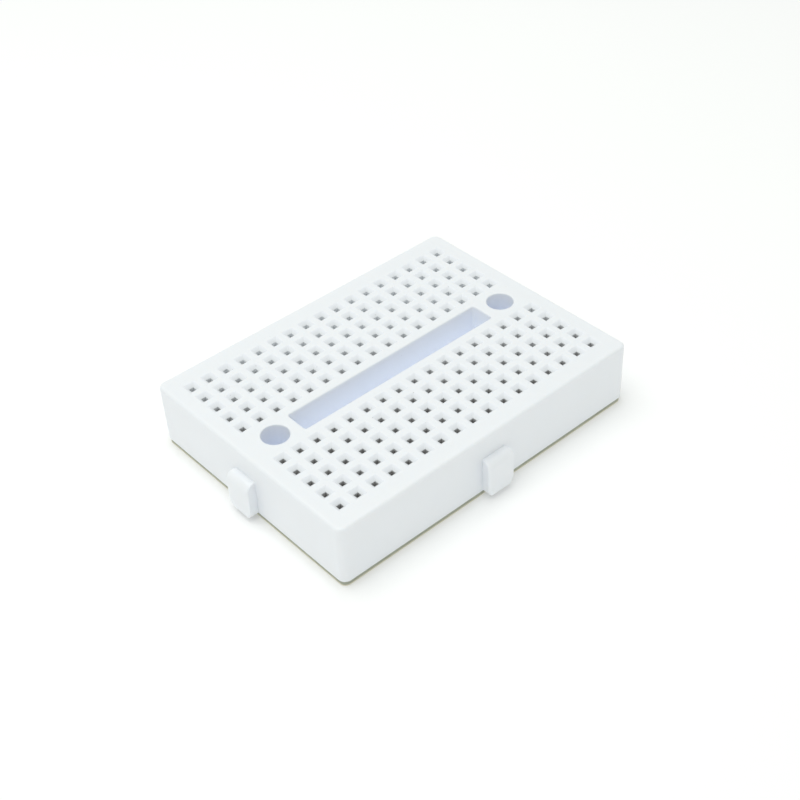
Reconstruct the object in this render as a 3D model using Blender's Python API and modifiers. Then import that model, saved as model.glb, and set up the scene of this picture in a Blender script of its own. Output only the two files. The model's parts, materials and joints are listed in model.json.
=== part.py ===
"""Solderless breadboard with 170 tie points, modelled the way it is moulded, stamped and assembled.

Metres, +Z up. The origin is the middle of the housing's footprint, on the release liner's underside.
+X runs along the long side. The dovetail tabs stand out of the -Y and -X sides, and the slots that a
neighbouring board's tabs slide into are in the other two.
"""

import math

import bmesh
import bpy
from mathutils import Matrix

MM = 0.001

# Hole grid
PITCH = 2.54 * MM
COLUMNS = 17
ROWS_PER_BANK = 5
BANK_GAP = 7.62 * MM  # between the innermost rows of the two banks, so that a DIP chip straddles them

# Housing
END_MARGIN = 2.93 * MM  # from the outermost column's centre to the housing's short side
SIDE_MARGIN = 3.43 * MM  # from the outermost row's centre to the housing's long side
BODY_HEIGHT = 8.2 * MM
CORNER_RADIUS = 1.0 * MM
TOP_EDGE_RADIUS = 0.4 * MM
ROOF_THICKNESS = 1.9 * MM

# Tie-point openings
FUNNEL_WIDTH = 1.66 * MM
FUNNEL_DEPTH = 0.45 * MM
THROAT_WIDTH = 0.66 * MM

# Centre channel, blind, as long as a whole number of pitches
CHANNEL_PITCHES = 12
CHANNEL_WIDTH = 3.4 * MM
CHANNEL_FLOOR = 3.2 * MM  # material left under the channel
LIP_CHAMFER = 0.2 * MM

# Screw holes on the centre line
SCREW_INSET = 4.85 * MM  # from the housing's short side to the hole's centre
SCREW_HEAD_BORE = 3.5 * MM
SCREW_SEAT = 3.0 * MM  # material left under the screw's head
SCREW_SHANK_BORE = 2.2 * MM
BORE_SIDES = 24

# Dovetail tabs and the slots that a neighbour's tabs slide into
TAB_WIDTH = 4.2 * MM
TAB_NECK_WIDTH = 3.7 * MM
TAB_REACH = 1.4 * MM
TAB_DROP = 3.2 * MM  # from the housing's top face to the top of a tab
TAB_TOP_RADIUS = 1.0 * MM
TAB_LEAD_IN_WIDTH = 0.4 * MM
TAB_LEAD_IN_HEIGHT = 0.9 * MM
SLOT_CLEARANCE = 0.12 * MM

# Contact clips
CLIP_STOCK = 0.2 * MM
CLIP_WIDTH = 1.5 * MM
CLIP_LEAD_IN = 1.5 * MM  # from where the fingers pinch up to their flared tips
CLIP_PINCH_GAP = 0.12 * MM
CLIP_MOUTH_GAP = 0.8 * MM
CLIP_WEB_HEIGHT = 0.8 * MM
FINGER_LENGTH = 1.8 * MM
CLIP_SIDE_CLEARANCE = 0.12 * MM
CLIP_END_CLEARANCE = 0.15 * MM
CLIP_TOP_CLEARANCE = 0.5 * MM
CLIP_RECESS = 0.2 * MM  # the clip's back sits this far up from the housing's underside

# Foam tape and release liner
FOAM_THICKNESS = 0.6 * MM
LINER_THICKNESS = 0.14 * MM
PAD_INSET = 0.15 * MM  # tape and liner are cut this much smaller than the housing on every side
GLUE_GAP = 0.03 * MM

OVERLAP = 0.5 * MM  # how far a cutter or a joined shape runs past a face
HAIR = 0.01 * MM  # how near a level a corner counts as lying on it

# Overall size
BODY_LENGTH = (COLUMNS - 1) * PITCH + 2 * END_MARGIN
BODY_WIDTH = BANK_GAP + 2 * (ROWS_PER_BANK - 1) * PITCH + 2 * SIDE_MARGIN

# Levels, from the surface the board stands on
FOAM_BOTTOM = LINER_THICKNESS + GLUE_GAP
BODY_BOTTOM = FOAM_BOTTOM + FOAM_THICKNESS + GLUE_GAP
BODY_TOP = BODY_BOTTOM + BODY_HEIGHT
CAVITY_TOP = BODY_TOP - ROOF_THICKNESS
CLIP_BOTTOM = BODY_BOTTOM + CLIP_RECESS

# One clip under each column of each bank
CLIP_LENGTH = (ROWS_PER_BANK - 1) * PITCH + FINGER_LENGTH
CLIP_HEIGHT = CAVITY_TOP - CLIP_TOP_CLEARANCE - CLIP_BOTTOM
CLIP_PINCH_HEIGHT = CLIP_HEIGHT - CLIP_LEAD_IN
CAVITY_WIDTH = CLIP_WIDTH + 2 * CLIP_SIDE_CLEARANCE
CAVITY_LENGTH = CLIP_LENGTH + 2 * CLIP_END_CLEARANCE
BANK_CENTRE = BANK_GAP / 2 + (ROWS_PER_BANK - 1) / 2 * PITCH
COLUMN_X = [(column - (COLUMNS - 1) / 2) * PITCH for column in range(COLUMNS)]

SCREW_X = [side * (BODY_LENGTH / 2 - SCREW_INSET) for side in (-1, 1)]
TAB_HEIGHT = BODY_HEIGHT - TAB_DROP


def clear_scene():
    for obj in list(bpy.data.objects):
        bpy.data.objects.remove(obj, do_unlink=True)


def new_collection(name):
    collection = bpy.data.collections.new(name)
    bpy.context.scene.collection.children.link(collection)
    return collection


def material(name, colour, roughness, metallic=0.0):
    """A plain Principled material in a piece's own colour."""
    made = bpy.data.materials.new(name)
    made.use_nodes = True
    shader = made.node_tree.nodes["Principled BSDF"]
    shader.inputs["Base Color"].default_value = (*colour, 1.0)
    shader.inputs["Roughness"].default_value = roughness
    shader.inputs["Metallic"].default_value = metallic
    made.diffuse_color = (*colour, 1.0)
    return made


def object_from(bm, name, collection, finish=None, closed=True):
    """Makes a bmesh an object of the given collection; an open sheet keeps the way its faces were turned."""
    if closed:
        bmesh.ops.recalc_face_normals(bm, faces=bm.faces)
    mesh = bpy.data.meshes.new(name)
    bm.to_mesh(mesh)
    bm.free()
    obj = bpy.data.objects.new(name, mesh)
    collection.objects.link(obj)
    if finish:
        mesh.materials.append(finish)
    return obj


def as_cutter(obj):
    obj.hide_render = True
    obj.display_type = "WIRE"
    return obj


def boolean(obj, other, operation):
    modifier = obj.modifiers.new(f"{operation.lower()} {other.name}", "BOOLEAN")
    modifier.operation = operation
    modifier.solver = "EXACT"
    modifier.object = other


def add_box(bm, size, centre):
    """A box of the given size; returns its vertices."""
    made = bmesh.ops.create_cube(bm, size=1.0)["verts"]
    bmesh.ops.scale(bm, vec=size, verts=made)
    bmesh.ops.translate(bm, vec=centre, verts=made)
    return made


def add_cylinder(bm, diameter, bottom, top, x):
    made = bmesh.ops.create_cone(
        bm,
        cap_ends=True,
        segments=BORE_SIDES,
        radius1=diameter / 2,
        radius2=diameter / 2,
        depth=top - bottom,
    )["verts"]
    bmesh.ops.translate(bm, vec=(x, 0.0, (bottom + top) / 2), verts=made)


def add_flared_box(bm, x, y, bottom, shoulder, top, size, top_size):
    """A box of one (width, length) up to its shoulder, then a flare to another size at its top."""
    verts = add_box(bm, (*size, shoulder - bottom), (x, y, (bottom + shoulder) / 2))
    faces = {face for vert in verts for face in vert.link_faces}
    cap = max(faces, key=lambda face: face.calc_center_median().z)
    cap = bmesh.ops.extrude_discrete_faces(bm, faces=[cap])["faces"][0]
    bmesh.ops.translate(bm, vec=(0.0, 0.0, top - shoulder), verts=cap.verts)
    growth = (top_size[0] / size[0], top_size[1] / size[1], 1.0)
    bmesh.ops.scale(bm, vec=growth, space=Matrix.Translation((-x, -y, 0.0)), verts=cap.verts)


def slice_off(bm, point, normal):
    """Cuts away what lies on the normal's side of a plane and closes the cut."""
    cut = bmesh.ops.bisect_plane(
        bm,
        geom=bm.verts[:] + bm.edges[:] + bm.faces[:],
        plane_co=point,
        plane_no=normal,
        clear_outer=True,
    )["geom_cut"]
    bmesh.ops.edgeloop_fill(bm, edges=[item for item in cut if isinstance(item, bmesh.types.BMEdge)])


def edges_where(bm, test):
    """The edges whose two ends both pass the test."""
    return [edge for edge in bm.edges if all(test(vert.co) for vert in edge.verts)]


def round_edges(bm, edges, radius, segments):
    bmesh.ops.bevel(
        bm,
        geom=edges,
        offset=radius,
        segments=segments,
        profile=0.5,
        affect="EDGES",
        material=-1,
    )


def row_positions(side):
    """The Y of each row of one bank, from the centre outwards; side is +1 for the back bank."""
    return [side * (BANK_GAP / 2 + row * PITCH) for row in range(ROWS_PER_BANK)]


# Housing


def housing_block(collection, finish):
    """The moulding's outer block, with rounded upright corners and a softened top edge."""
    bm = bmesh.new()
    add_box(bm, (BODY_LENGTH, BODY_WIDTH, BODY_HEIGHT), (0.0, 0.0, (BODY_BOTTOM + BODY_TOP) / 2))
    upright = [edge for edge in bm.edges if abs(edge.verts[0].co.z - edge.verts[1].co.z) > MM]
    round_edges(bm, upright, CORNER_RADIUS, 4)
    top = edges_where(bm, lambda co: co.z > BODY_TOP - HAIR)
    round_edges(bm, top, TOP_EDGE_RADIUS, 3)
    return object_from(bm, "housing", collection, finish)


def tie_point_cutter(collection):
    """All the lead openings: a square funnel, then a throat down into the cavity."""
    bm = bmesh.new()
    slope = (FUNNEL_WIDTH - THROAT_WIDTH) / FUNNEL_DEPTH
    top_width = FUNNEL_WIDTH + slope * OVERLAP
    throat_bottom = CAVITY_TOP - OVERLAP
    shoulder = BODY_TOP - FUNNEL_DEPTH
    throat = (THROAT_WIDTH, THROAT_WIDTH)
    mouth = (top_width, top_width)
    for side in (1, -1):
        for y in row_positions(side):
            for x in COLUMN_X:
                add_flared_box(bm, x, y, throat_bottom, shoulder, BODY_TOP + OVERLAP, throat, mouth)
    return as_cutter(object_from(bm, "tie_point_cutter", collection))


def cavity_cutter(collection):
    """One pocket for each clip, open at the underside."""
    bm = bmesh.new()
    bottom = BODY_BOTTOM - OVERLAP
    size = (CAVITY_WIDTH, CAVITY_LENGTH, CAVITY_TOP - bottom)
    for side in (1, -1):
        for x in COLUMN_X:
            add_box(bm, size, (x, side * BANK_CENTRE, (CAVITY_TOP + bottom) / 2))
    return as_cutter(object_from(bm, "cavity_cutter", collection))


def channel_cutter(collection):
    """The blind channel between the banks, with a chamfered lip."""
    bm = bmesh.new()
    floor = (CHANNEL_PITCHES * PITCH, CHANNEL_WIDTH)
    lip = 2 * (LIP_CHAMFER + OVERLAP)
    mouth = (floor[0] + lip, floor[1] + lip)
    bottom = BODY_BOTTOM + CHANNEL_FLOOR
    add_flared_box(bm, 0.0, 0.0, bottom, BODY_TOP - LIP_CHAMFER, BODY_TOP + OVERLAP, floor, mouth)
    return as_cutter(object_from(bm, "channel_cutter", collection))


def screw_head_cutter(collection):
    """The wide upper part of both screw holes."""
    bm = bmesh.new()
    for x in SCREW_X:
        add_cylinder(bm, SCREW_HEAD_BORE, BODY_BOTTOM + SCREW_SEAT, BODY_TOP + OVERLAP, x)
    return as_cutter(object_from(bm, "screw_head_cutter", collection))


def screw_shank_cutter(collection):
    """The narrow part of both screw holes, through to the underside."""
    bm = bmesh.new()
    for x in SCREW_X:
        add_cylinder(bm, SCREW_SHANK_BORE, BODY_BOTTOM - OVERLAP, BODY_BOTTOM + SCREW_SEAT + OVERLAP, x)
    return as_cutter(object_from(bm, "screw_shank_cutter", collection))


def dovetail(bm, clearance, below):
    """A dovetail key on the -Y side of y = 0, its root at +Y; clearance grows every side of it."""
    width = TAB_WIDTH + 2 * clearance
    neck = TAB_NECK_WIDTH + 2 * clearance
    reach = TAB_REACH + clearance
    height = TAB_HEIGHT + clearance
    flare = (width - neck) / reach
    root_width = neck - flare * OVERLAP
    verts = add_box(
        bm,
        (width, reach + OVERLAP, height + below),
        (0.0, (OVERLAP - reach) / 2, BODY_BOTTOM + (height - below) / 2),
    )
    root = [vert for vert in verts if vert.co.y > 0.0]
    bmesh.ops.scale(bm, vec=(root_width / width, 1.0, 1.0), verts=root)
    top = BODY_BOTTOM + height
    tip_edge = edges_where(bm, lambda co: co.z > top - HAIR and co.y < 0.0)
    round_edges(bm, tip_edge, TAB_TOP_RADIUS, 4)


def tab_shape():
    """The tab of the front side: a dovetail key with its lower corners cut back as a lead-in."""
    bm = bmesh.new()
    dovetail(bm, 0.0, 0.0)
    for side in (1, -1):
        slice_off(
            bm,
            (side * (TAB_WIDTH / 2 - TAB_LEAD_IN_WIDTH), 0.0, BODY_BOTTOM),
            (side * TAB_LEAD_IN_HEIGHT, 0.0, -TAB_LEAD_IN_WIDTH),
        )
    return bm


def slot_shape():
    """The slot that takes a neighbour's tab from below, so it runs down through tape and liner too."""
    bm = bmesh.new()
    dovetail(bm, SLOT_CLEARANCE, BODY_BOTTOM + OVERLAP)
    return bm


def placed(bm, turn, x, y):
    """Turns a key shape about Z and moves its root plane to the given side of the housing."""
    matrix = Matrix.Translation((x, y, 0.0)) @ Matrix.Rotation(turn, 4, "Z")
    bmesh.ops.transform(bm, matrix=matrix, verts=bm.verts)
    return bm


def make_slots(collection):
    """The slots of the +Y and +X sides."""
    back = placed(slot_shape(), 0.0, 0.0, BODY_WIDTH / 2)
    right = placed(slot_shape(), -math.pi / 2, BODY_LENGTH / 2, 0.0)
    return [
        as_cutter(object_from(back, "back_slot_cutter", collection)),
        as_cutter(object_from(right, "right_slot_cutter", collection)),
    ]


def make_housing(collection, cutters, slots, finish):
    """Block, tabs on the -Y and -X sides, slots in the other two, and all the openings."""
    housing = housing_block(collection, finish)
    front = placed(tab_shape(), 0.0, 0.0, -BODY_WIDTH / 2)
    left = placed(tab_shape(), -math.pi / 2, -BODY_LENGTH / 2, 0.0)
    boolean(housing, as_cutter(object_from(front, "front_tab", cutters)), "UNION")
    boolean(housing, as_cutter(object_from(left, "left_tab", cutters)), "UNION")
    for slot in slots:
        boolean(housing, slot, "DIFFERENCE")
    for cutter in (cavity_cutter, channel_cutter, screw_head_cutter, screw_shank_cutter, tie_point_cutter):
        boolean(housing, cutter(cutters), "DIFFERENCE")


# Contact clips


def clip_section():
    """The clip's outer face across its width, X and Z, from one finger's tip round to the other's."""
    tip = CLIP_MOUTH_GAP / 2 + CLIP_STOCK
    pinch = CLIP_PINCH_GAP / 2 + CLIP_STOCK
    back = CLIP_WIDTH / 2
    web = back + (pinch - back) * CLIP_WEB_HEIGHT / CLIP_PINCH_HEIGHT
    half = [(back, 0.0), (web, CLIP_WEB_HEIGHT), (pinch, CLIP_PINCH_HEIGHT), (tip, CLIP_HEIGHT)]
    return [(-x, z) for x, z in reversed(half)] + half


def finger_ends():
    """Where each finger pair starts and ends along the clip."""
    middle = (ROWS_PER_BANK - 1) / 2
    ends = []
    for finger in range(ROWS_PER_BANK):
        centre = (finger - middle) * PITCH
        ends += [centre - FINGER_LENGTH / 2, centre + FINGER_LENGTH / 2]
    return ends


def clip_sheet():
    """The stamped sheet, folded, as an open surface: the fingers stand on one continuous web."""
    bm = bmesh.new()
    stations = finger_ends()
    line = [bm.verts.new((x, stations[0], z)) for x, z in clip_section()]
    edges = [bm.edges.new(pair) for pair in zip(line, line[1:])]
    for before, after in zip(stations, stations[1:]):
        grown = bmesh.ops.extrude_edge_only(bm, edges=edges)["geom"]
        edges = [item for item in grown if isinstance(item, bmesh.types.BMEdge)]
        verts = [item for item in grown if isinstance(item, bmesh.types.BMVert)]
        bmesh.ops.translate(bm, vec=(0.0, after - before, 0.0), verts=verts)
    gaps = list(zip(stations[1::2], stations[2::2]))

    def in_gap(face):
        centre = face.calc_center_median()
        return centre.z > CLIP_WEB_HEIGHT and any(start < centre.y < end for start, end in gaps)

    bmesh.ops.delete(bm, geom=[face for face in bm.faces if in_gap(face)], context="FACES")
    return bm


def make_clips(collection, helpers, finish):
    """Forms one clip, then places a copy of it under every column of both banks."""
    blank = as_cutter(object_from(clip_sheet(), "clip_sheet", helpers, finish, closed=False))
    wall = blank.modifiers.new("sheet thickness", "SOLIDIFY")
    wall.thickness = CLIP_STOCK
    wall.offset = -1.0
    wall.use_even_offset = True
    bpy.context.view_layer.update()
    evaluated = blank.evaluated_get(bpy.context.evaluated_depsgraph_get())
    formed = bpy.data.meshes.new_from_object(evaluated)
    for bank, side in (("back", 1), ("front", -1)):
        for number, x in enumerate(COLUMN_X, start=1):
            clip = bpy.data.objects.new(f"contact_clip_{bank}_{number:02d}", formed)
            clip.location = (x, side * BANK_CENTRE, CLIP_BOTTOM)
            collection.objects.link(clip)


# Tape and liner


def make_pad(name, bottom, thickness, collection, slots, finish):
    """A sheet die-cut to the housing's footprint, with the same corners and notches at the slots."""
    bm = bmesh.new()
    size = (BODY_LENGTH - 2 * PAD_INSET, BODY_WIDTH - 2 * PAD_INSET, thickness)
    add_box(bm, size, (0.0, 0.0, bottom + thickness / 2))
    upright = [edge for edge in bm.edges if abs(edge.verts[0].co.z - edge.verts[1].co.z) > thickness / 2]
    round_edges(bm, upright, CORNER_RADIUS - PAD_INSET, 4)
    pad = object_from(bm, name, collection, finish)
    for slot in slots:
        boolean(pad, slot, "DIFFERENCE")


def main():
    clear_scene()
    parts = new_collection("solderless_breadboard")
    cutters = new_collection("cutters")
    white_abs = material("white ABS", (0.87, 0.90, 0.92), 0.38)
    spring_alloy = material("nickel-plated phosphor bronze", (0.72, 0.70, 0.65), 0.28, 1.0)
    foam = material("foam tape", (0.30, 0.31, 0.24), 0.9)
    paper = material("glazed liner paper", (0.80, 0.77, 0.55), 0.45)
    slots = make_slots(cutters)
    make_housing(parts, cutters, slots, white_abs)
    make_clips(parts, cutters, spring_alloy)
    make_pad("foam_tape", FOAM_BOTTOM, FOAM_THICKNESS, parts, slots, foam)
    make_pad("release_liner", 0.0, LINER_THICKNESS, parts, slots, paper)


main()
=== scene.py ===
"""Looks for a small solderless breadboard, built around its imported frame.

Metres, +Z up, in the frame's own axes: +X along the long side, dovetail tabs on the -Y and -X sides.
The housing is one ABS moulding. Formed contact strips are pushed into it from below, a foam pad closes
it, and a glazed paper liner covers the pad's adhesive until the board is stuck down.
"""

import json
import math

import bmesh
import bpy
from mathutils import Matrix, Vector, noise

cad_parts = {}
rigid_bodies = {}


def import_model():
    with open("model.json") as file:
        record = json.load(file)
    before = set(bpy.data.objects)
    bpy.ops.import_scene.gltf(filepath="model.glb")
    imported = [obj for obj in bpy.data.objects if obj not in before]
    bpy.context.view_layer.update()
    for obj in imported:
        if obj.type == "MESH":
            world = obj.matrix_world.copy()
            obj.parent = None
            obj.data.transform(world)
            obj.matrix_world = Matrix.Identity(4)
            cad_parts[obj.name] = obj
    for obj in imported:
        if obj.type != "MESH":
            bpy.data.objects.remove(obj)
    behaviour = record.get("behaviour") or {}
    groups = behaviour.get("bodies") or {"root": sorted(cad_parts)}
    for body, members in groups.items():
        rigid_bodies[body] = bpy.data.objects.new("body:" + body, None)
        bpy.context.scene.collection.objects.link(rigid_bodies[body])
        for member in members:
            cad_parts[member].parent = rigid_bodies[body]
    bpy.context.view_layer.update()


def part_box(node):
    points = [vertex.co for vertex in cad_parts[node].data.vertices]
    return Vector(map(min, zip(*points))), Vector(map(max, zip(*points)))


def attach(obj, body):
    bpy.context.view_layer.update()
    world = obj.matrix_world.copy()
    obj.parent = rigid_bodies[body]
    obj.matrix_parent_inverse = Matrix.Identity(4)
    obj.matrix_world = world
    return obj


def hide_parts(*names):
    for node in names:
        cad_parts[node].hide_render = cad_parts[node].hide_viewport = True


MM = 0.001
HAIR = 0.01 * MM  # how near a level a corner counts as lying on it
MERGE = 0.001 * MM
BORDER = 0.05 * MM  # a narrow border of level faces round an opening
CENTRE_BAND = 5.2 * MM
UP = Vector((0.0, 0.0, 1.0))
CRISP_ANGLE = math.radians(34)

# Hole grid
COLUMNS = 17
ROWS_PER_BANK = 5
PITCH = 2.54 * MM
BANK_GAP = 7.62 * MM  # between the innermost rows of the two banks
ROW_Y = [side * (BANK_GAP / 2 + row * PITCH) for side in (1, -1) for row in range(ROWS_PER_BANK)]

# Housing
CORNER_RADIUS = 1.0 * MM
TOP_EDGE_RADIUS = 0.4 * MM
ROOF_THICKNESS = 1.9 * MM

# Tie-point openings
FUNNEL_WIDTH = 1.66 * MM
FUNNEL_DEPTH = 0.45 * MM
THROAT_WIDTH = 0.66 * MM
FUNNEL_LIP_RADIUS = 0.12 * MM

# Centre channel
CHANNEL_LENGTH = 12 * PITCH
CHANNEL_WIDTH = 3.4 * MM
CHANNEL_FLOOR = 3.2 * MM
CHANNEL_LIP_RADIUS = 0.2 * MM
CHANNEL_CORNER_RADIUS = 0.3 * MM
CHANNEL_FILLET = 0.25 * MM

# Screw holes
SCREW_INSET = 4.85 * MM  # from the short side to the hole's centre
SCREW_PATCH = 4.4 * MM
HEAD_RADIUS = 1.75 * MM
SHANK_RADIUS = 1.1 * MM
SCREW_SEAT = 3.0 * MM
HEAD_LIP_RADIUS = 0.14 * MM
BORE_STEP = math.radians(15)  # 24 flats round a bore

# Dovetail tabs, and the slots that a neighbour's tabs slide into
TAB_WIDTH = 4.2 * MM
TAB_NECK_WIDTH = 3.7 * MM
TAB_HEIGHT = 5.0 * MM
TAB_TOP_RADIUS = 1.0 * MM
TAB_EDGE_RADIUS = 0.22 * MM
LEAD_IN_WIDTH = 0.4 * MM
LEAD_IN_HEIGHT = 0.9 * MM
SLOT_CLEARANCE = 0.12 * MM

# Contact strips
STRIP_STOCK = 0.2 * MM
STRIP_PINCH_GAP = 0.12 * MM
STRIP_MOUTH_GAP = 0.8 * MM
STRIP_WEB_HEIGHT = 0.8 * MM
STRIP_LEAD_IN = 1.5 * MM
STRIP_BEND_RADIUS = 0.35 * MM
FINGER_LENGTH = 1.8 * MM
FINGER_TIP_RADIUS = 0.45 * MM
POCKET_SIDE_CLEARANCE = 0.12 * MM
POCKET_END_CLEARANCE = 0.15 * MM

# Foam pad and liner
PAD_INSET = 0.15 * MM
PAD_CORNER_SEGMENTS = 10
RIM_SPACING = 0.6 * MM
RIM_CELL = 0.45 * MM
RIM_TEAR = 0.05 * MM
RIM_BARREL = 0.03 * MM  # how far the pad's top and bottom edges lie inside its waist
FOAM_CELL = 0.14 * MM
LINER_EDGE_RADIUS = 0.03 * MM

# Where the openings' finish with its painted shade, and the recesses' painted light, begin and end
BANK_INNER = 2.7 * MM  # from the centre line to just short of the pockets
BANK_OUTER_ROWS = 2.5  # rows from a bank's centre to just past its pockets
BANK_END_MARGIN = 1.0 * MM
# depth over which the painted funnel shade turns into the painted throat shade
THROAT_SHADE_FADE = 0.2 * MM
THROAT_SHADE_LEAN = 0.4  # how much X counts beside Y in the change of painted shade across the board
THROAT_SHADE_REACH = 10 * MM
RECESS_PAINTED_LIGHT = (0.036, 0.045, 0.072, 1.0)  # stands in for the cool light low in the channel and screw holes
RECESS_LIGHT_START = 0.2 * MM
RECESS_LIGHT_FULL = 2.5 * MM
RECESS_END = 2.9 * MM  # from the short side to just past a screw hole
RECESS_FADE = 0.1 * MM

# Surroundings
SURROUND_STRENGTH = 0.64
SURROUND_COLOUR = (0.921, 0.953, 0.926, 1.0)
SOFTBOX_POWER = 0.72
SOFTBOX_COLOUR = (1.0, 1.0, 0.985)
SOFTBOX_SIZE = (400 * MM, 300 * MM)
SOFTBOX_PLACE = (-60 * MM, 40 * MM, 380 * MM)
FLOOR_SIZE = 4.0
FLOOR_GLOW = 0.115  # brings the card to plain white

# Main view
LENS = 61.755
CAMERA_PLACE = (-83.59 * MM, -101.01 * MM, 114.59 * MM)
CAMERA_TURN = (49.608, 2.339, -41.841)  # degrees about X, Y and Z


# Camera and frame


def make_camera():
    """The main view, from over the corner between the two tabbed sides."""
    data = bpy.data.cameras.new("camera")
    data.sensor_width = 36.0
    data.lens = LENS
    data.clip_start = 10 * MM
    data.clip_end = 10.0
    camera = bpy.data.objects.new("camera", data)
    camera.location = CAMERA_PLACE
    camera.rotation_euler = [math.radians(angle) for angle in CAMERA_TURN]
    bpy.context.scene.collection.objects.link(camera)
    bpy.context.scene.camera = camera


for leftover in list(bpy.data.objects):
    bpy.data.objects.remove(leftover, do_unlink=True)
make_camera()
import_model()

housing_low, housing_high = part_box("housing")
HALF_LENGTH = housing_high.x
HALF_WIDTH = housing_high.y
TAB_REACH = -housing_low.x - housing_high.x
BOTTOM = housing_low.z
TOP = housing_high.z
CAVITY_TOP = TOP - ROOF_THICKNESS
CLIP_BOXES = [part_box(f"contact_clip_back_{number:02d}") for number in range(1, COLUMNS + 1)]
COLUMN_X = [(low.x + high.x) / 2 for low, high in CLIP_BOXES]
STRIP_LOW, STRIP_HIGH = CLIP_BOXES[0]
BANK_CENTRE = (STRIP_LOW.y + STRIP_HIGH.y) / 2
STRIP_WIDTH = STRIP_HIGH.x - STRIP_LOW.x
STRIP_LENGTH = STRIP_HIGH.y - STRIP_LOW.y
STRIP_HEIGHT = STRIP_HIGH.z - STRIP_LOW.z
SCREW_X = [side * (HALF_LENGTH - SCREW_INSET) for side in (-1, 1)]


# Working with faces and edges


def near(value, places):
    return any(abs(value - place) < HAIR for place in places)


def middle(face):
    return face.calc_center_bounds()


def facing(bm, direction, distance):
    """The faces that look along a direction and lie that far along it."""
    bm.normal_update()
    found = [face for face in bm.faces if face.normal.dot(direction) > 0.999]
    return [face for face in found if abs(middle(face).dot(direction) - distance) < HAIR]


def edges_where(bm, test):
    """The edges whose two ends both pass the test."""
    return [edge for edge in bm.edges if all(test(vert.co) for vert in edge.verts)]


def cut(bm, faces, point, normal):
    """Cuts some faces along a plane and returns them all; faces beside them only gain corners."""
    edges = {edge for face in faces for edge in face.edges}
    verts = {vert for face in faces for vert in face.verts}
    made = bmesh.ops.bisect_plane(
        bm,
        geom=[*faces, *edges, *verts],
        dist=MERGE,
        plane_co=point,
        plane_no=normal.normalized(),
    )
    return [item for item in made["geom"] if isinstance(item, bmesh.types.BMFace)]


def cut_across(bm, faces, axis, places):
    """Cuts faces at each of some places along X (0), Y (1) or Z (2)."""
    normal = Vector([float(index == axis) for index in range(3)])
    for place in places:
        faces = cut(bm, faces, normal * place, normal)
    return faces


def pairs_about(centres, width):
    return [centre + side * width / 2 for centre in centres for side in (-1, 1)]


def round_edges(bm, edges, radius, segments):
    return bmesh.ops.bevel(
        bm,
        geom=edges,
        offset=radius,
        segments=segments,
        profile=0.5,
        affect="EDGES",
        material=-1,
    )["faces"]


def round_corners(bm, verts, radius, segments):
    bmesh.ops.bevel(
        bm,
        geom=verts,
        offset=radius,
        segments=segments,
        profile=0.5,
        affect="VERTICES",
        material=-1,
    )


def arc_steps(radius, start, end, count):
    """(inwards, down) steps round an arc whose slope runs from start to end, in radians below level."""
    turns = [start + (end - start) * step / count for step in range(count + 1)]
    return [
        (radius * (math.sin(after) - math.sin(before)), radius * (math.cos(before) - math.cos(after)))
        for before, after in zip(turns, turns[1:])
    ]


def sink(bm, faces, steps):
    """Steps each face inwards and down by turns."""
    for inwards, down in steps:
        bmesh.ops.inset_individual(bm, faces=faces, thickness=inwards, depth=-down, use_even_offset=True)


def join_openings(bm, upper, lower):
    """Removes two sets of faces that lie on each other and joins their corners."""
    verts = {vert for face in upper + lower for vert in face.verts}
    bmesh.ops.delete(bm, geom=upper + lower, context="FACES_ONLY")
    bmesh.ops.remove_doubles(bm, verts=list(verts), dist=MERGE)
    bmesh.ops.delete(bm, geom=[edge for edge in bm.edges if edge.is_wire], context="EDGES")


def box_mesh(low, high):
    """A bmesh box between two corners."""
    bm = bmesh.new()
    bmesh.ops.create_cube(bm, size=1.0)
    bmesh.ops.scale(bm, vec=high - low, verts=bm.verts)
    bmesh.ops.translate(bm, vec=(high + low) / 2, verts=bm.verts)
    return bm


def upright_edges(bm):
    return [edge for edge in bm.edges if abs((edge.verts[0].co - edge.verts[1].co).normalized().z) > 0.9]


def finish_piece(bm, name, stands_for, body, finish):
    """Makes a bmesh a piece, smooth over soft bends and crisp at hard edges."""
    for face in bm.faces:
        face.smooth = True
    for edge in bm.edges:
        edge.smooth = len(edge.link_faces) == 2 and edge.calc_face_angle() < CRISP_ANGLE
    mesh = bpy.data.meshes.new(name)
    bm.to_mesh(mesh)
    mesh.materials.append(finish)
    piece = bpy.data.objects.new(name, mesh)
    bpy.context.scene.collection.objects.link(piece)
    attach(piece, body)
    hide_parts(stands_for)
    return piece


def even_shading(piece):
    """Flat faces stay flat in the shading, and the narrow bends beside them turn smoothly."""
    weighted = piece.modifiers.new("even shading", "WEIGHTED_NORMAL")
    weighted.keep_sharp = True
    weighted.weight = 90


# Housing


def make_round(face, centre_x, radius):
    """Moves a face's corners onto a circle of evenly stepped corners."""
    for vert in face.verts:
        turn = math.atan2(vert.co.y, vert.co.x - centre_x)
        turn = BORE_STEP * round(turn / BORE_STEP)
        vert.co.x = centre_x + radius * math.cos(turn)
        vert.co.y = radius * math.sin(turn)


def centre_band(bm, faces):
    """The face along the middle of the board, parted from the banks so that its cuts stop short of them."""
    between = [face for face in faces if near(middle(face).y, [0.0])]
    band = cut_across(bm, between, 1, pairs_about([0.0], CENTRE_BAND))
    return [face for face in band if near(middle(face).y, [0.0])]


def bordered(bm, faces):
    """Gives level faces a narrow border; the faces themselves shrink inside it."""
    bmesh.ops.inset_individual(bm, faces=faces, thickness=BORDER, depth=0.0, use_even_offset=True)
    return faces


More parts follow.
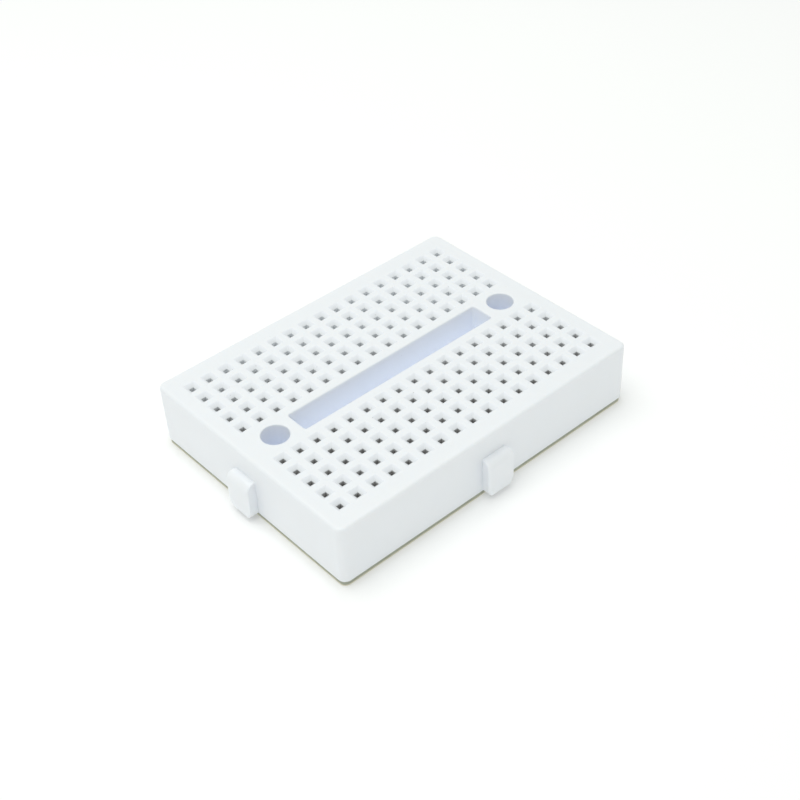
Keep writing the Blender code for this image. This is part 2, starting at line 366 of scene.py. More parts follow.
def round_patches(bm, band, radius):
    """Cuts a patch with a round face in it at each screw hole and returns the round faces."""
    band = cut_across(bm, band, 0, pairs_about(SCREW_X, SCREW_PATCH))
    patches = [face for face in band if near(middle(face).x, SCREW_X)]
    patches = cut_across(bm, patches, 1, pairs_about([0.0], SCREW_PATCH))
    patches = bordered(bm, [face for face in patches if near(middle(face).y, [0.0])])
    for patch in patches:
        centre_x = middle(patch).x
        bmesh.ops.subdivide_edges(bm, edges=patch.edges, cuts=5, use_grid_fill=False)
        make_round(patch, centre_x, radius)
    return patches


def sink_funnels(bm, cells):
    """A rounded lip, four slopes and a straight throat down to the pocket's roof."""
    slope_run = (FUNNEL_WIDTH - THROAT_WIDTH) / 2
    slope = math.atan2(FUNNEL_DEPTH, slope_run)
    lip = arc_steps(FUNNEL_LIP_RADIUS, 0.0, slope, 3)
    lip_run = sum(inwards for inwards, down in lip)
    lip_drop = sum(down for inwards, down in lip)
    run = mouth_width() / 2 - lip_run - THROAT_WIDTH / 2
    drop = run * math.tan(slope)
    sink(bm, cells, lip + [(run, drop), (0.0, ROOF_THICKNESS - lip_drop - drop)])


def mouth_width():
    """The width over a funnel's rounded lip."""
    slope = math.atan2(FUNNEL_DEPTH, (FUNNEL_WIDTH - THROAT_WIDTH) / 2)
    return FUNNEL_WIDTH + 2 * FUNNEL_LIP_RADIUS * math.tan(slope / 2)


def sink_channel(bm, cell):
    """The blind channel: rounded corners, a rounded lip, straight walls and a filleted floor."""
    bordered(bm, [cell])
    round_corners(bm, list(cell.verts), CHANNEL_CORNER_RADIUS + CHANNEL_LIP_RADIUS, 5)
    cell = min(facing(bm, UP, TOP), key=lambda face: middle(face).length)
    lip = arc_steps(CHANNEL_LIP_RADIUS, 0.0, math.pi / 2, 4)
    fillet = arc_steps(-CHANNEL_FILLET, math.pi / 2, 0.0, 3)
    wall = TOP - BOTTOM - CHANNEL_FLOOR - CHANNEL_LIP_RADIUS - CHANNEL_FILLET
    sink(bm, [cell], lip + [(0.0, wall)] + fillet)


def sink_heads(bm, rounds):
    """The wide upper part of each screw hole, down to the seat and in to the shank hole."""
    sink(bm, rounds, arc_steps(HEAD_LIP_RADIUS, 0.0, math.pi / 2, 3))
    sink(bm, rounds, [(0.0, TOP - BOTTOM - SCREW_SEAT - HEAD_LIP_RADIUS), (HEAD_RADIUS - SHANK_RADIUS, 0.0)])
    for face in rounds:
        make_round(face, middle(face).x, SHANK_RADIUS)
    return rounds


def open_top(bm):
    """Cuts the top face into cells and sinks every opening; returns the throats' and seats' ends."""
    top = cut_across(bm, facing(bm, UP, TOP), 1, pairs_about(ROW_Y, mouth_width()))
    rows = [face for face in top if near(middle(face).y, ROW_Y)]
    band = centre_band(bm, top)
    cells = cut_across(bm, rows, 0, pairs_about(COLUMN_X, mouth_width()))
    cells = [face for face in cells if near(middle(face).x, COLUMN_X)]
    border = 2 * (CHANNEL_LIP_RADIUS + BORDER)
    band = cut_across(bm, band, 0, pairs_about([0.0], CHANNEL_LENGTH + border))
    centre = [face for face in band if near(middle(face).x, [0.0])]
    band = [face for face in band if face not in centre]
    centre = cut_across(bm, centre, 1, pairs_about([0.0], CHANNEL_WIDTH + border))
    rounds = round_patches(bm, band, HEAD_RADIUS + HEAD_LIP_RADIUS)
    sink_channel(bm, min(centre, key=lambda face: middle(face).length))
    sink_funnels(bm, cells)
    return cells, sink_heads(bm, rounds)


def open_bottom(bm):
    """Cuts the underside into pockets and shank holes; returns their ends."""
    pocket_length = STRIP_LENGTH + 2 * POCKET_END_CLEARANCE
    pocket_width = STRIP_WIDTH + 2 * POCKET_SIDE_CLEARANCE
    banks = [-BANK_CENTRE, BANK_CENTRE]
    bottom = cut_across(bm, facing(bm, -UP, -BOTTOM), 1, pairs_about(banks, pocket_length))
    strips = [face for face in bottom if near(middle(face).y, banks)]
    band = centre_band(bm, bottom)
    pockets = cut_across(bm, strips, 0, pairs_about(COLUMN_X, pocket_width))
    pockets = [face for face in pockets if near(middle(face).x, COLUMN_X)]
    sink(bm, pockets, [(0.0, CAVITY_TOP - BOTTOM)])
    roofs = cut_across(bm, pockets, 1, pairs_about(ROW_Y, THROAT_WIDTH))
    roofs = [face for face in roofs if near(middle(face).y, ROW_Y)]
    throats = cut_across(bm, roofs, 0, pairs_about(COLUMN_X, THROAT_WIDTH))
    throats = [face for face in throats if near(middle(face).x, COLUMN_X)]
    shanks = round_patches(bm, band, SHANK_RADIUS)
    sink(bm, shanks, [(0.0, SCREW_SEAT)])
    return throats, shanks


def key_face(bm, side, along, out, neck, height):
    """Cuts a wall's lower middle into one face as wide as a dovetail's neck and as high as the dovetail."""
    wall = facing(bm, out, side)
    width_axis = 0 if along.x else 1
    wall = cut_across(bm, wall, width_axis, pairs_about([0.0], neck))
    wall = [face for face in wall if near(middle(face)[width_axis], [0.0])]
    wall = cut_across(bm, wall, 2, [BOTTOM + height])
    return min(wall, key=lambda face: middle(face).z)


def draw_out(bm, face, reach, along, growth):
    """Extrudes a face by a reach along its normal, and widens its far end."""
    normal = face.normal.copy()
    face = bmesh.ops.extrude_discrete_faces(bm, faces=[face])["faces"][0]
    bmesh.ops.translate(bm, vec=normal * reach, verts=face.verts)
    for vert in face.verts:
        vert.co += along * vert.co.dot(along) * (growth - 1.0)
    bm.normal_update()
    return face


def add_tab(bm, side, along, out):
    """A dovetail tab: widening outwards, rounded over at the top, with its lower corners cut back."""
    root = key_face(bm, side, along, out, TAB_NECK_WIDTH, TAB_HEIGHT)
    cap = draw_out(bm, root, TAB_REACH, along, TAB_WIDTH / TAB_NECK_WIDTH)
    flanks = [face for edge in cap.edges for face in edge.link_faces]
    flanks = [face for face in flanks if face is cap or abs(face.normal.dot(along)) > 0.5]
    steepness = LEAD_IN_HEIGHT / LEAD_IN_WIDTH
    root_rise = LEAD_IN_HEIGHT - (TAB_WIDTH - TAB_NECK_WIDTH) / 2 * steepness
    rise = LEAD_IN_HEIGHT - root_rise
    cut(bm, list(set(flanks)), out * side + UP * (BOTTOM + root_rise), out * -rise + UP * TAB_REACH)
    foot = [vert for vert in bm.verts if vert.co.z < BOTTOM + HAIR and vert.co.dot(out) > side - HAIR]
    for vert in foot:
        across = vert.co.dot(along)
        if near(abs(across), [TAB_WIDTH / 2, TAB_NECK_WIDTH / 2]):
            vert.co += along * (math.copysign(TAB_WIDTH / 2 - LEAD_IN_WIDTH, across) - across)
    bm.normal_update()
    tip = [edge for edge in bm.edges if near(edge_middle(edge).z, [BOTTOM + TAB_HEIGHT])]
    tip = [edge for edge in tip if near(edge_middle(edge).dot(out), [side + TAB_REACH])]
    round_edges(bm, tip, TAB_TOP_RADIUS, 8)
    bm.normal_update()
    outside = [edge for edge in bm.edges if edge_middle(edge).dot(out) > side + HAIR]
    rims = [edge for edge in outside if is_rim(edge, along)]
    round_edges(bm, rims, TAB_EDGE_RADIUS, 4)


def edge_middle(edge):
    return (edge.verts[0].co + edge.verts[1].co) / 2


def is_rim(edge, along):
    """Whether an edge parts a tab's flank from its cap or top, above its underside."""
    if len(edge.link_faces) != 2 or edge.calc_face_angle() < math.radians(30):
        return False
    flank = [face for face in edge.link_faces if abs(face.normal.dot(along)) > 0.5]
    beneath = [face for face in edge.link_faces if face.normal.z < -0.9]
    return len(flank) == 1 and not beneath


def notch_cell(bm, sheet, side, along, out):
    """Cuts a level face by a slot's plan, open at a side, and returns the cell that the slot takes."""
    neck = TAB_NECK_WIDTH + 2 * SLOT_CLEARANCE
    width = TAB_WIDTH + 2 * SLOT_CLEARANCE
    depth = TAB_REACH + SLOT_CLEARANCE
    faces = [sheet]
    for hand in (1, -1):
        faces = cut(bm, faces, along * (hand * width / 2), along)
    faces = [face for face in faces if near(middle(face).dot(along), [0.0])]
    faces = cut(bm, faces, out * (side - depth), out)
    faces = [face for face in faces if middle(face).dot(out) > side - depth]
    for hand in (1, -1):
        mouth_corner = along * (hand * neck / 2) + out * side
        faces = cut(bm, faces, mouth_corner, along * depth + out * (hand * (width - neck) / 2))
    return max(faces, key=lambda face: face.calc_area())


def add_slot(bm, side, along, out):
    """A slot open at the underside, a little larger all round than the tab that slides into it."""
    neck = TAB_NECK_WIDTH + 2 * SLOT_CLEARANCE
    width = TAB_WIDTH + 2 * SLOT_CLEARANCE
    mouth = key_face(bm, side, along, out, neck, TAB_HEIGHT + SLOT_CLEARANCE)
    draw_out(bm, mouth, -TAB_REACH - SLOT_CLEARANCE, along, width / neck)
    rim = [face for face in facing(bm, -UP, -BOTTOM) if near(middle(face).dot(along), [0.0])]
    notch = notch_cell(bm, max(rim, key=lambda face: middle(face).dot(out)), side, along, out)
    join_openings(bm, [notch], facing(bm, UP, BOTTOM))


def mark_shaded_openings(bm):
    """Gives the openings below their lips, and the pockets under them, the second finish, the one with
    painted shade.
    """
    outer = BANK_CENTRE + BANK_OUTER_ROWS * PITCH
    for face in bm.faces:
        place = middle(face)
        sunk = max(vert.co.z for vert in face.verts) <= TOP - 2 * HAIR
        inside = abs(place.x) < HALF_LENGTH - BANK_END_MARGIN and BANK_INNER < abs(place.y) < outer
        if sunk and inside and place.z > BOTTOM + HAIR:
            face.material_index = 1


def make_housing(finish, painted_shade_finish):
    """The whole moulding as one closed skin."""
    low = Vector((-HALF_LENGTH, -HALF_WIDTH, BOTTOM))
    bm = box_mesh(low, Vector((HALF_LENGTH, HALF_WIDTH, TOP)))
    round_edges(bm, upright_edges(bm), CORNER_RADIUS, 8)
    round_edges(bm, edges_where(bm, lambda co: co.z > TOP - HAIR), TOP_EDGE_RADIUS, 5)
    throat_ends, seats = open_top(bm)
    throats, shanks = open_bottom(bm)
    join_openings(bm, throat_ends, throats)
    join_openings(bm, seats, shanks)
    along_x, along_y = Vector((1.0, 0.0, 0.0)), Vector((0.0, 1.0, 0.0))
    add_slot(bm, HALF_WIDTH, along_x, along_y)
    add_slot(bm, HALF_LENGTH, along_y, along_x)
    add_tab(bm, HALF_WIDTH, along_x, -along_y)
    add_tab(bm, HALF_LENGTH, along_y, -along_x)
    bm.normal_update()
    mark_shaded_openings(bm)
    piece = finish_piece(bm, "housing_moulding", "housing", "board", finish)
    piece.data.materials.append(painted_shade_finish)
    bm.free()
    even_shading(piece)


# Contact strips


def strip_section():
    """The strip's outer face across its width, X and Z, from one finger's tip round to the other's."""
    tip = STRIP_MOUTH_GAP / 2 + STRIP_STOCK
    pinch = STRIP_PINCH_GAP / 2 + STRIP_STOCK
    back = STRIP_WIDTH / 2
    pinch_height = STRIP_HEIGHT - STRIP_LEAD_IN
    web = back + (pinch - back) * STRIP_WEB_HEIGHT / pinch_height
    half = [(back, 0.0), (web, STRIP_WEB_HEIGHT), (pinch, pinch_height), (tip, STRIP_HEIGHT)]
    return [(-x, z) for x, z in reversed(half)] + half


def formed_strip():
    """One stamped and folded strip as an open sheet, its fingers standing on a continuous web."""
    bm = bmesh.new()
    gap = PITCH - FINGER_LENGTH
    lengths = [FINGER_LENGTH, gap] * (ROWS_PER_BANK - 1) + [FINGER_LENGTH]
    line = [bm.verts.new((x, -STRIP_LENGTH / 2, z)) for x, z in strip_section()]
    edges = [bm.edges.new(pair) for pair in zip(line, line[1:])]
    gaps = []
    place = -STRIP_LENGTH / 2
    for index, length in enumerate(lengths):
        grown = bmesh.ops.extrude_edge_only(bm, edges=edges)["geom"]
        edges = [item for item in grown if isinstance(item, bmesh.types.BMEdge)]
        verts = [item for item in grown if isinstance(item, bmesh.types.BMVert)]
        bmesh.ops.translate(bm, vec=(0.0, length, 0.0), verts=verts)
        if index % 2:
            gaps.append(place + length / 2)
        place += length
    open_gaps = [
        face for face in bm.faces if middle(face).z > STRIP_WEB_HEIGHT and near(middle(face).y, gaps)
    ]
    bmesh.ops.delete(bm, geom=open_gaps, context="FACES")
    tips = [vert for vert in bm.verts if vert.co.z > STRIP_HEIGHT - HAIR]
    round_corners(bm, tips, FINGER_TIP_RADIUS, 4)
    bends = [edge for edge in bm.edges if len(edge.link_faces) == 2 and edge.calc_face_angle() > 0.1]
    round_edges(bm, bends, STRIP_BEND_RADIUS, 3)
    return bm


def make_strips(finish):
    """Places a copy of the formed strip under every column of both banks."""
    sheet = formed_strip()
    for bank, side in (("back", 1), ("front", -1)):
        for number, x in enumerate(COLUMN_X, start=1):
            bm = sheet.copy()
            bmesh.ops.translate(bm, vec=(x, side * BANK_CENTRE, STRIP_LOW.z), verts=bm.verts)
            name = f"{bank}_{number:02d}"
            strip = finish_piece(
                bm, f"contact_strip_{name}", f"contact_clip_{name}", "board", finish
            )
            bm.free()
            stock = strip.modifiers.new("stock", "SOLIDIFY")
            stock.thickness = STRIP_STOCK
            stock.offset = -1.0
            stock.use_even_offset = True
    sheet.free()


# Foam pad and liner


def die_cut(node):
    """A flat face cut to the housing's outline, with its corners and its notches at the slots."""
    low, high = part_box(node)
    bm = bmesh.new()
    bmesh.ops.create_grid(bm, x_segments=1, y_segments=1, size=0.5)
    bmesh.ops.scale(bm, vec=(high.x - low.x, high.y - low.y, 1.0), verts=bm.verts)
    bmesh.ops.translate(bm, vec=(0.0, 0.0, low.z), verts=bm.verts)
    round_corners(bm, bm.verts[:], CORNER_RADIUS - PAD_INSET, PAD_CORNER_SEGMENTS)
    along_x, along_y = Vector((1.0, 0.0, 0.0)), Vector((0.0, 1.0, 0.0))
    for side, along, out in ((HALF_WIDTH, along_x, along_y), (HALF_LENGTH, along_y, along_x)):
        face = max(bm.faces, key=lambda face: face.calc_area())
        bmesh.ops.delete(bm, geom=[notch_cell(bm, face, side, along, out)], context="FACES")
        bmesh.ops.dissolve_faces(bm, faces=bm.faces[:])
    return bm


def thicken(bm, height):
    """Draws a flat sheet up to a closed slab."""
    grown = bmesh.ops.extrude_face_region(bm, geom=bm.faces[:])["geom"]
    raised = [item for item in grown if isinstance(item, bmesh.types.BMVert)]
    bmesh.ops.translate(bm, vec=UP * height, verts=raised)
    bmesh.ops.recalc_face_normals(bm, faces=bm.faces)


def split_outline(bm, spacing):
    """Splits a flat sheet's long outline edges so that the rim can be shaped."""
    for edge in bm.edges[:]:
        cuts = round(edge.calc_length() / spacing) - 1
        if cuts > 0:
            bmesh.ops.subdivide_edges(bm, edges=[edge], cuts=cuts)


def make_foam(finish):
    """The foam pad: a soft-edged slab whose cut rim is slightly torn between the cells."""
    low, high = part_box("foam_tape")
    thickness = high.z - low.z
    bm = die_cut("foam_tape")
    split_outline(bm, RIM_SPACING)
    thicken(bm, thickness)
    bm.normal_update()
    rim = [face for face in bm.faces if abs(face.normal.z) < 0.5]
    cut_across(bm, rim, 2, [low.z + thickness * share for share in (0.12, 0.35, 0.65, 0.88)])
    bm.normal_update()
    moves = {}
    for vert in bm.verts:
        outwards = vert.normal.copy()
        outwards.z = 0.0
        torn = 0.5 + 0.5 * noise.noise(vert.co / RIM_CELL)
        level = 2 * (vert.co.z - low.z) / thickness - 1
        moves[vert] = outwards.normalized() * -(RIM_TEAR * torn + RIM_BARREL * level * level)
    for vert, move in moves.items():
        vert.co += move
    pad = finish_piece(bm, "foam_pad", "foam_tape", "board", finish)
    bm.free()


def make_liner(finish):
    """The release liner: glazed paper with a pressed-down cut edge, laid flat under the pad."""
    low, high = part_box("release_liner")
    bm = die_cut("release_liner")
    area = sum(face.calc_area() for face in bm.faces)
    thicken(bm, high.z - low.z)
    bm.normal_update()
    rim = [edge for edge in bm.edges if edge.calc_face_angle(0.0) > math.radians(60)]
    rim = [edge for edge in rim if abs(edge.verts[0].co.z - edge.verts[1].co.z) < HAIR]
    round_edges(bm, rim, LINER_EDGE_RADIUS, 2)
    liner = finish_piece(bm, "liner_sheet", "release_liner", "liner", finish)
    bm.free()


# Finishes


def add_node(tree, kind, inputs=None, **settings):
    """Adds a node; inputs are values or other nodes' outputs, and settings are the node's own."""
    made = tree.nodes.new(kind)
    for name, value in settings.items():
        setattr(made, name, value)
    for socket, value in (inputs or {}).items():
        if isinstance(value, bpy.types.NodeSocket):
            tree.links.new(value, made.inputs[socket])
        else:
            made.inputs[socket].default_value = value
    return made


def new_group(name, inputs, outputs):
    """A shader node group with named sockets; inputs give each one's kind and value."""
    group = bpy.data.node_groups.new(name, "ShaderNodeTree")
    for socket, (kind, value) in inputs.items():
        made = group.interface.new_socket(socket, in_out="INPUT", socket_type=f"NodeSocket{kind}")
        if value is not None:
            made.default_value = value
    for socket, kind in outputs.items():
        group.interface.new_socket(socket, in_out="OUTPUT", socket_type=f"NodeSocket{kind}")
    return group


def maths(tree, operation, *values):
    """One sum on numbers or other nodes' outputs."""
    return add_node(tree, "ShaderNodeMath", dict(enumerate(values)), operation=operation).outputs[0]


def ramp(tree, value, low, high, to_low=0.0, to_high=1.0):
    """Maps a range of a value onto another, held at both ends."""
    inputs = {"Value": value, "From Min": low, "From Max": high, "To Min": to_low, "To Max": to_high}
    return add_node(tree, "ShaderNodeMapRange", inputs).outputs["Result"]


def mixed(tree, share, first, second):
    """The second colour mixed into the first by a share; 6 and 7 are the node's colour inputs."""
    return add_node(tree, "ShaderNodeMix", {0: share, 6: first, 7: second}, data_type="RGBA").outputs[2]


def grain_group():
    """Fine grain and slow cloudiness, both from 0 to 1, with their spacings in metres."""
    inputs = {
        "Vector": ("Vector", None),
        "Fine Spacing": ("Float", 0.1 * MM),
        "Slow Spacing": ("Float", 5 * MM),
    }
    tree = new_group("grain", inputs, {"Fine": "Float", "Slow": "Float"})
    source = add_node(tree, "NodeGroupInput")
    found = {}
    for name, detail in (("Fine", 3.0), ("Slow", 2.0)):
        scale = maths(tree, "DIVIDE", 1.0, source.outputs[f"{name} Spacing"])
        inputs = {"Vector": source.outputs["Vector"], "Scale": scale, "Detail": detail, "Roughness": 0.55}
        clouds = add_node(tree, "ShaderNodeTexNoise", inputs)
        found[name] = ramp(tree, clouds.outputs["Fac"], 0.3, 0.7)
    add_node(tree, "NodeGroupOutput", found)
    return tree


def speck_group():
    """Sparse specks and soft smears that handling leaves, as two masks."""
    inputs = {"Vector": ("Vector", None), "Spacing": ("Float", 2 * MM), "Speck Size": ("Float", 0.05)}
    tree = new_group("specks and smears", inputs, {"Specks": "Float", "Smears": "Float"})
    source = add_node(tree, "NodeGroupInput")
    place = source.outputs["Vector"]
    scale = maths(tree, "DIVIDE", 1.0, source.outputs["Spacing"])
    dots = add_node(tree, "ShaderNodeTexVoronoi", {"Vector": place, "Scale": scale}, feature="F1")
    size = maths(tree, "MULTIPLY", dots.outputs["Color"], source.outputs["Speck Size"])
    inside = maths(tree, "SUBTRACT", size, dots.outputs["Distance"])
    specks = ramp(tree, inside, 0.0, 0.015)
    turned = {"Vector": place, "Rotation": (0.0, 0.0, 0.6), "Scale": (90.0, 260.0, 180.0)}
    drift = add_node(tree, "ShaderNodeMapping", turned).outputs[0]
    drawn_out = {"Vector": drift, "Scale": 1.0, "Detail": 4.0, "Distortion": 0.8}
    smear = add_node(tree, "ShaderNodeTexNoise", drawn_out)
    smears = ramp(tree, smear.outputs["Fac"], 0.5, 0.72)
    add_node(tree, "NodeGroupOutput", {"Specks": specks, "Smears": smears})
    return tree


def new_finish(name):
    """An empty Principled material; returns it, its tree, its shader and its Object coordinates."""
    made = bpy.data.materials.new(name)
    made.use_nodes = True
    tree = made.node_tree
    place = add_node(tree, "ShaderNodeTexCoord").outputs["Object"]
    return made, tree, tree.nodes["Principled BSDF"], place


def set_shader(shader, tree, values, links):
    """Sets constants on the shader's own sockets and links what changes over the surface."""
    for socket, value in values.items():
        shader.inputs[socket].default_value = value
    for socket, source in links.items():
        tree.links.new(source, shader.inputs[socket])


def bump(tree, height, distance, strength=1.0):
    inputs = {"Height": height, "Distance": distance, "Strength": strength}
    return add_node(tree, "ShaderNodeBump", inputs).outputs["Normal"]


def grouped(tree, group, inputs):
    """Places a node group and feeds its inputs."""
    return add_node(tree, "ShaderNodeGroup", inputs, node_tree=group).outputs


def painted_recess_light_mask(tree, place):
    """From 0 at the top face to 1 low in the channel and the screw holes, and 0 elsewhere; it sets the
    strength of a painted cool glow.
    """
    along = add_node(tree, "ShaderNodeSeparateXYZ", {0: place}).outputs
    deep = ramp(tree, along["Z"], TOP - RECESS_LIGHT_START, TOP - RECESS_LIGHT_FULL)
    off_centre = maths(tree, "ABSOLUTE", along["Y"])
    deep = ramp(tree, off_centre, HEAD_RADIUS + HAIR, HEAD_RADIUS + 2 * HAIR, deep, 0.0)
    end = HALF_LENGTH - RECESS_END
    return ramp(tree, maths(tree, "ABSOLUTE", along["X"]), end, end + RECESS_FADE, deep, 0.0)


def moulded_abs(grain, specks):
    """Cool white ABS from a finely spark-eroded mould, faintly clouded and barely handled, with a painted
    cool glow low in the channel and screw holes.
    """
    made, tree, shader, place = new_finish("moulded white ABS with painted recess light")
    skin = grouped(tree, grain, {"Vector": place, "Fine Spacing": 0.11 * MM, "Slow Spacing": 6 * MM})
    marks = grouped(tree, specks, {"Vector": place, "Spacing": 1.7 * MM, "Speck Size": 0.05})
    clouded = mixed(tree, skin["Slow"], (0.90, 0.925, 0.975, 1.0), (0.91, 0.935, 0.98, 1.0))
    handled = mixed(tree, ramp(tree, marks["Smears"], 0.0, 1.0, 0.0, 0.25), clouded, (0.90, 0.915, 0.94, 1.0))
    colour = mixed(tree, ramp(tree, marks["Specks"], 0.0, 1.0, 0.0, 0.35), handled, (0.55, 0.54, 0.52, 1.0))
    roughness = ramp(tree, marks["Smears"], 0.0, 1.0, 0.36, 0.46)
    links = {
        "Base Color": colour,
        "Roughness": roughness,
        "Normal": bump(tree, skin["Fine"], 0.004 * MM),
        # painted light: a cool glow low in the channel and the screw holes
        "Emission Strength": painted_recess_light_mask(tree, place),
    }
    values = {
        "IOR": 1.53,
        "Emission Color": RECESS_PAINTED_LIGHT,
        "Subsurface Weight": 0.3,
        "Subsurface Radius": (1.0, 0.95, 0.9),
        "Subsurface Scale": 0.5 * MM,
    }
    set_shader(shader, tree, values, links)
    return made


def painted_shade_abs(grain, specks):
    """The same ABS with painted shade in it: a little darker down the funnels, and much darker in the
    throats.

    The painted throat shade is deepest towards the front left and palest towards the back right.
    """
    made, tree, shader, place = new_finish("ABS with painted shade in the openings")
    skin = grouped(tree, grain, {"Vector": place, "Fine Spacing": 0.09 * MM, "Slow Spacing": 0.7 * MM})
    marks = grouped(tree, specks, {"Vector": place, "Spacing": 0.8 * MM, "Speck Size": 0.1})
    along = add_node(tree, "ShaderNodeSeparateXYZ", {0: place}).outputs
    lean = maths(tree, "ADD", along["Y"], maths(tree, "MULTIPLY", along["X"], THROAT_SHADE_LEAN))
    throat_shade_across_board = ramp(tree, lean, -THROAT_SHADE_REACH, THROAT_SHADE_REACH)
    throat_top = TOP - FUNNEL_DEPTH
    funnel_shade_depth = ramp(tree, along["Z"], TOP, throat_top)
    throat_shade_depth = ramp(tree, along["Z"], throat_top, throat_top - THROAT_SHADE_FADE)
    # painted shade: the funnel walls darken towards the throat
    funnel = mixed(tree, funnel_shade_depth, (0.905, 0.93, 0.98, 1.0), (0.78, 0.80, 0.82, 1.0))
    # painted shade: the throat colour, deep at the front left and pale at the back right
    throat_painted_shade = mixed(tree, skin["Slow"], (0.46, 0.455, 0.45, 1.0), (0.54, 0.535, 0.53, 1.0))
    throat = mixed(tree, throat_shade_across_board, throat_painted_shade, (0.90, 0.925, 0.95, 1.0))
    colour = mixed(tree, throat_shade_depth, funnel, throat)
    colour = mixed(tree, ramp(tree, marks["Specks"], 0.0, 1.0, 0.0, 0.4), colour, (0.3, 0.27, 0.23, 1.0))
    roughness = ramp(tree, skin["Slow"], 0.0, 1.0, 0.45, 0.6)
    links = {"Base Color": colour, "Roughness": roughness, "Normal": bump(tree, skin["Fine"], 0.004 * MM)}
    set_shader(shader, tree, {"IOR": 1.5}, links)
    return made


def plated_strip(grain, specks):
    """Nickel-plated phosphor bronze: fine rolling lines along the strip, warm where the plating is thin."""
    made, tree, shader, place = new_finish("nickel-plated phosphor bronze")
    along = add_node(tree, "ShaderNodeMapping", {"Vector": place, "Scale": (1.0, 0.04, 1.0)}).outputs[0]
    rolled = grouped(tree, grain, {"Vector": along, "Fine Spacing": 0.035 * MM, "Slow Spacing": 0.3 * MM})
    plate = grouped(tree, grain, {"Vector": place, "Fine Spacing": 0.2 * MM, "Slow Spacing": 2.2 * MM})
    marks = grouped(tree, specks, {"Vector": place, "Spacing": 0.8 * MM, "Speck Size": 0.08})
    plated = mixed(tree, rolled["Slow"], (0.66, 0.645, 0.61, 1.0), (0.74, 0.73, 0.70, 1.0))
    thin = ramp(tree, plate["Slow"], 0.6, 1.0, 0.0, 0.5)
    colour = mixed(tree, thin, plated, (0.72, 0.56, 0.36, 1.0))
    colour = mixed(tree, ramp(tree, marks["Specks"], 0.0, 1.0, 0.0, 0.5), colour, (0.32, 0.27, 0.22, 1.0))
    roughness = ramp(tree, rolled["Fine"], 0.0, 1.0, 0.2, 0.38)
    links = {"Base Color": colour, "Roughness": roughness, "Normal": bump(tree, rolled["Fine"], 0.002 * MM)}
    set_shader(shader, tree, {"Metallic": 1.0}, links)
    return made


def cut_foam(grain, specks):
    """Closed-cell foam, its cut cells paler at their walls; its olive-grey is partly its own colour and
    partly painted shade, the dark of the recess under the housing's edge.
    """
    made, tree, shader, place = new_finish("closed-cell foam")
    texture = grouped(tree, grain, {"Vector": place, "Fine Spacing": 0.05 * MM, "Slow Spacing": 1.6 * MM})
    marks = grouped(tree, specks, {"Vector": place, "Spacing": 0.9 * MM, "Speck Size": 0.12})
    packed = {"Vector": place, "Scale": 1 / FOAM_CELL}
    cells = add_node(tree, "ShaderNodeTexVoronoi", packed, feature="DISTANCE_TO_EDGE")
    walls = ramp(tree, cells.outputs["Distance"], 0.0, 0.22, 1.0, 0.0)
    # partly painted shade: the olive-grey body colour also stands for the shade under the housing's edge
    body = mixed(tree, texture["Slow"], (0.37, 0.39, 0.31, 1.0), (0.45, 0.47, 0.38, 1.0))
    colour = mixed(tree, ramp(tree, walls, 0.0, 1.0, 0.0, 0.6), body, (0.60, 0.61, 0.52, 1.0))
    colour = mixed(tree, ramp(tree, marks["Specks"], 0.0, 1.0, 0.0, 0.4), colour, (0.30, 0.29, 0.25, 1.0))
    roughness = ramp(tree, texture["Fine"], 0.0, 1.0, 0.78, 0.95)
    normal = bump(tree, walls, 0.03 * MM, 0.8)
    set_shader(shader, tree, {"IOR": 1.45}, {"Base Color": colour, "Roughness": roughness, "Normal": normal})
    return made


def glazed_paper(grain, specks):
    """Pale yellow glazed liner paper: mottled fibres under a smooth release coat."""
    made, tree, shader, place = new_finish("glazed liner paper")
    combed = {"Vector": place, "Rotation": (0.0, 0.0, 0.5), "Scale": (1.0, 0.18, 1.0)}
    fibres = add_node(tree, "ShaderNodeMapping", combed).outputs[0]
    matted = grouped(tree, grain, {"Vector": fibres, "Fine Spacing": 0.06 * MM, "Slow Spacing": 0.9 * MM})
    clouds = grouped(tree, grain, {"Vector": place, "Fine Spacing": 0.3 * MM, "Slow Spacing": 3.5 * MM})
    marks = grouped(tree, specks, {"Vector": place, "Spacing": 1.3 * MM, "Speck Size": 0.06})
    colour = mixed(tree, matted["Slow"], (0.80, 0.77, 0.62, 1.0), (0.86, 0.83, 0.69, 1.0))
    colour = mixed(tree, ramp(tree, clouds["Slow"], 0.0, 1.0, 0.0, 0.4), colour, (0.84, 0.79, 0.62, 1.0))
    colour = mixed(tree, ramp(tree, marks["Specks"], 0.0, 1.0, 0.0, 0.5), colour, (0.52, 0.45, 0.30, 1.0))
    roughness = ramp(tree, marks["Smears"], 0.0, 1.0, 0.40, 0.55)
    links = {"Base Color": colour, "Roughness": roughness, "Normal": bump(tree, matted["Fine"], 0.004 * MM)}
    values = {"IOR": 1.5, "Coat Weight": 0.5, "Coat Roughness": 0.22}
    set_shader(shader, tree, values, links)
    return made


# Surroundings


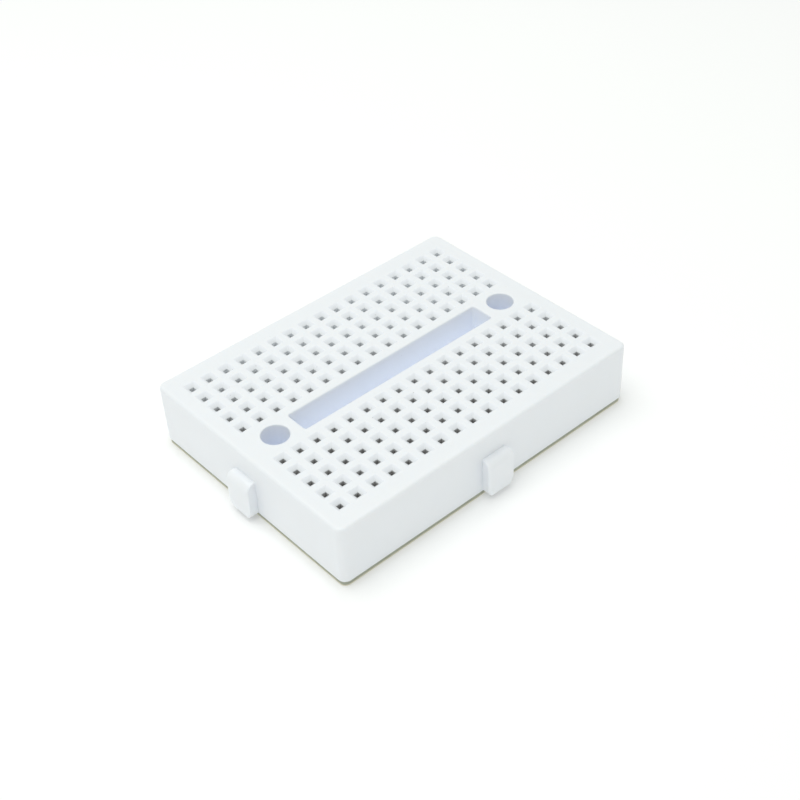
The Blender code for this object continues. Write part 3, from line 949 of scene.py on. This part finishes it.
def make_lighting():
    """A light tent: an even pale surround and a broad soft light overhead."""
    world = bpy.data.worlds.new("light_tent")
    bpy.context.scene.world = world
    world.use_nodes = True
    background = world.node_tree.nodes["Background"]
    background.inputs["Color"].default_value = SURROUND_COLOUR
    background.inputs["Strength"].default_value = SURROUND_STRENGTH
    data = bpy.data.lights.new("overhead_softbox", "AREA")
    data.shape = "RECTANGLE"
    data.size, data.size_y = SOFTBOX_SIZE
    data.energy = SOFTBOX_POWER
    data.color = SOFTBOX_COLOUR
    light = bpy.data.objects.new("overhead_softbox", data)
    light.location = SOFTBOX_PLACE
    light.rotation_euler = (-light.location).to_track_quat("-Z", "Y").to_euler()
    bpy.context.scene.collection.objects.link(light)


def make_floor():
    """A plain white card, clear from beneath so that the underside can be seen."""
    bm = bmesh.new()
    bmesh.ops.create_grid(bm, x_segments=1, y_segments=1, size=FLOOR_SIZE / 2)
    mesh = bpy.data.meshes.new("floor")
    bm.to_mesh(mesh)
    bm.free()
    floor = bpy.data.objects.new("floor", mesh)
    floor.location.z = -HAIR
    bpy.context.scene.collection.objects.link(floor)
    made, tree, shader, place = new_finish("pale card")
    clouds = add_node(tree, "ShaderNodeTexNoise", {"Vector": place, "Scale": 12.0, "Detail": 2.0})
    colour = mixed(tree, clouds.outputs["Fac"], (0.93, 0.93, 0.93, 1.0), (0.95, 0.95, 0.95, 1.0))
    values = {
        "Roughness": 0.9,
        "Specular IOR Level": 0.1,
        "Emission Color": (1.0, 1.0, 1.0, 1.0),
        "Emission Strength": FLOOR_GLOW,
    }
    set_shader(shader, tree, values, {"Base Color": colour})
    clear = add_node(tree, "ShaderNodeBsdfTransparent").outputs[0]
    beneath = add_node(tree, "ShaderNodeNewGeometry").outputs["Backfacing"]
    shown = add_node(tree, "ShaderNodeMixShader", {0: beneath, 1: shader.outputs[0], 2: clear})
    tree.links.new(shown.outputs[0], tree.nodes["Material Output"].inputs["Surface"])
    mesh.materials.append(made)


def main():
    bpy.context.scene.view_settings.view_transform = "Standard"
    grain, specks = grain_group(), speck_group()
    make_housing(moulded_abs(grain, specks), painted_shade_abs(grain, specks))
    make_strips(plated_strip(grain, specks))
    make_foam(cut_foam(grain, specks))
    make_liner(glazed_paper(grain, specks))
    make_lighting()
    make_floor()


main()
